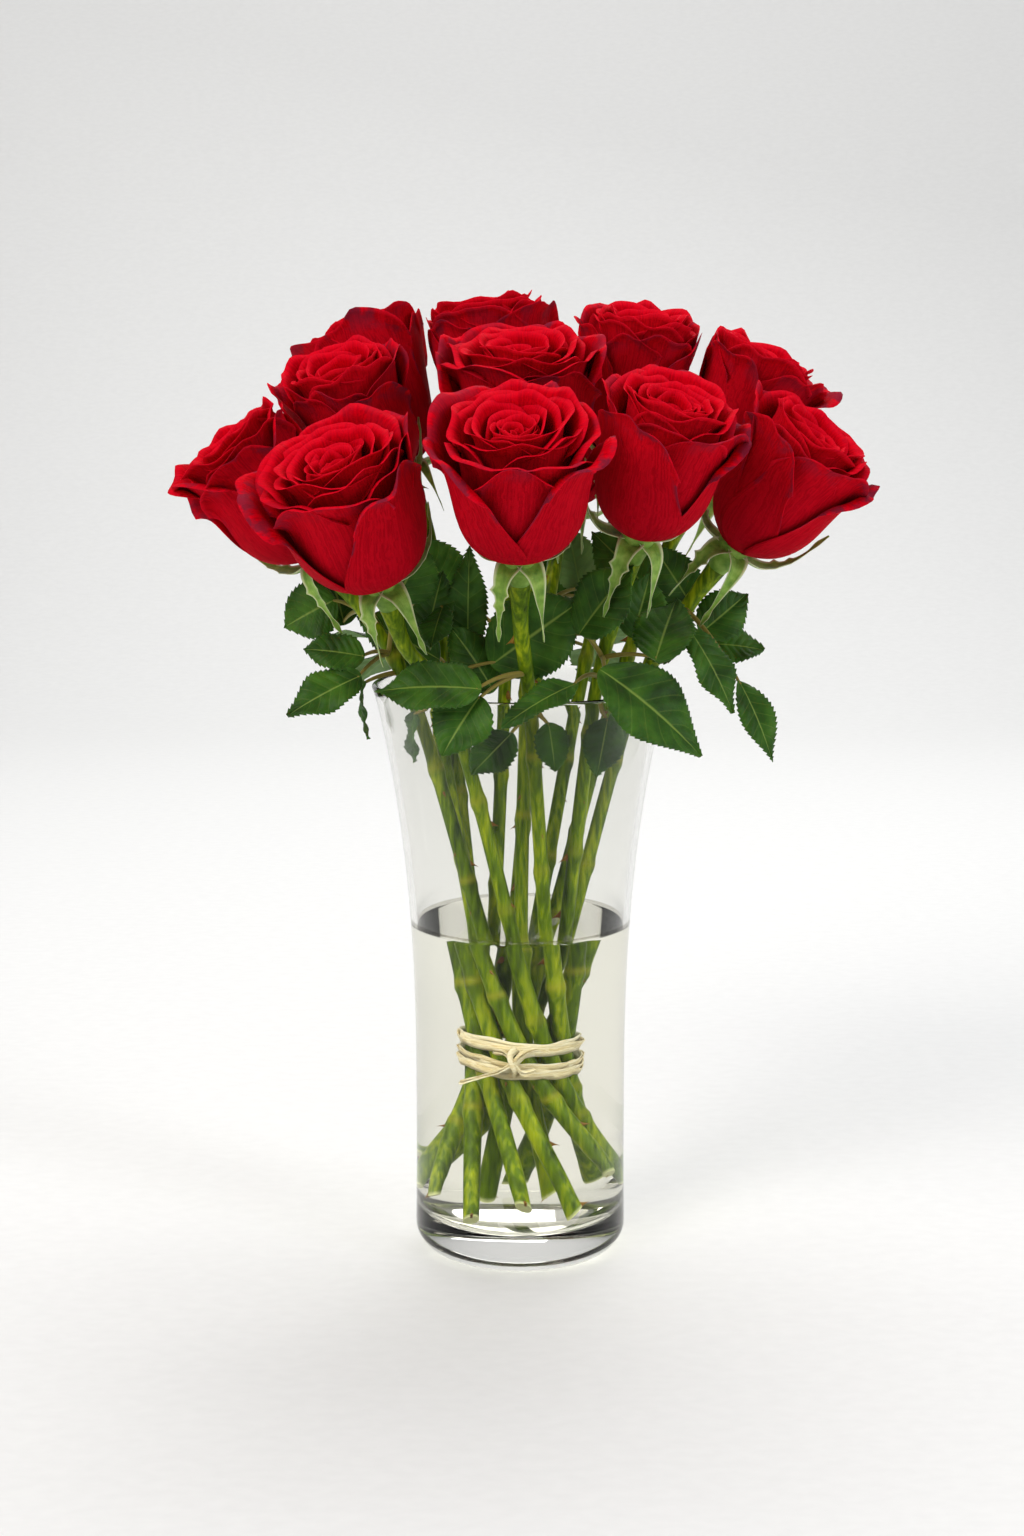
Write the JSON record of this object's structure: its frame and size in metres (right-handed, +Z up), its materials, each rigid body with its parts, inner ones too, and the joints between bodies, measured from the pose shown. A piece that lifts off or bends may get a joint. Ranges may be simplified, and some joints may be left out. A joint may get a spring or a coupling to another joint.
{
  "type": "roses in a vase",
  "caption": "Spiral-tied bouquet of red roses with their leaves, bound with raffia and standing in a flared clear glass vase of water.",
  "frame": {"origin": "middle of the vase's flat foot, where it rests", "axes": "+Z up along the vase's axis; -Y is the front, where the low front roses and the knot of the tie are; +X is to the right seen from the front"},
  "size_m": [0.2803, 0.2443, 0.3954],
  "materials": {
    "glass": "gloss",
    "water": "gloss",
    "raffia": "matte",
    "stem": "satin",
    "sepal": "matte",
    "petal": "satin",
    "leaf": "satin"
  },
  "bodies": {
    "root": {"vase": "glass", "water": "water", "raffia_tie": "raffia", "stem_front": "stem", "calyx_front": "sepal", "bloom_front": "petal", "stem_front_right": "stem", "calyx_front_right": "sepal", "bloom_front_right": "petal", "stem_right": "stem", "calyx_right": "sepal", "bloom_right": "petal", "stem_back_right": "stem", "calyx_back_right": "sepal", "bloom_back_right": "petal", "stem_back": "stem", "calyx_back": "sepal", "bloom_back": "petal", "stem_back_left": "stem", "calyx_back_left": "sepal", "bloom_back_left": "petal", "stem_left_back": "stem", "calyx_left_back": "sepal", "bloom_left_back": "petal", "stem_middle_left": "stem", "calyx_middle_left": "sepal", "bloom_middle_left": "petal", "stem_left": "stem", "calyx_left": "sepal", "bloom_left": "petal", "stem_front_left": "stem", "calyx_front_left": "sepal", "bloom_front_left": "petal", "stem_middle": "stem", "calyx_middle": "sepal", "bloom_middle": "petal", "stem_middle_back": "stem", "calyx_middle_back": "sepal", "bloom_middle_back": "petal", "leaf_over_rim_left": "leaf", "leaf_behind_front": "leaf", "leaf_over_rim_front": "leaf", "leaf_over_rim_right": "leaf", "leaf_right_drooping": "leaf", "leaf_right_spread": "leaf", "leaf_left_pair": "leaf", "leaf_left_high": "leaf", "leaf_left_hanging": "leaf", "leaf_tall_middle": "leaf", "leaf_inner_left": "leaf", "leaf_inner_right": "leaf", "leaf_in_mouth_front": "leaf", "leaf_in_mouth_right": "leaf", "leaf_in_mouth_left": "leaf", "leaf_back_spread": "leaf", "leaf_back_over_rim": "leaf", "leaf_left_back_spread": "leaf", "leaf_left_inner": "leaf", "leaf_right_high": "leaf", "leaf_back_high": "leaf"}
  },
  "joints": []
}
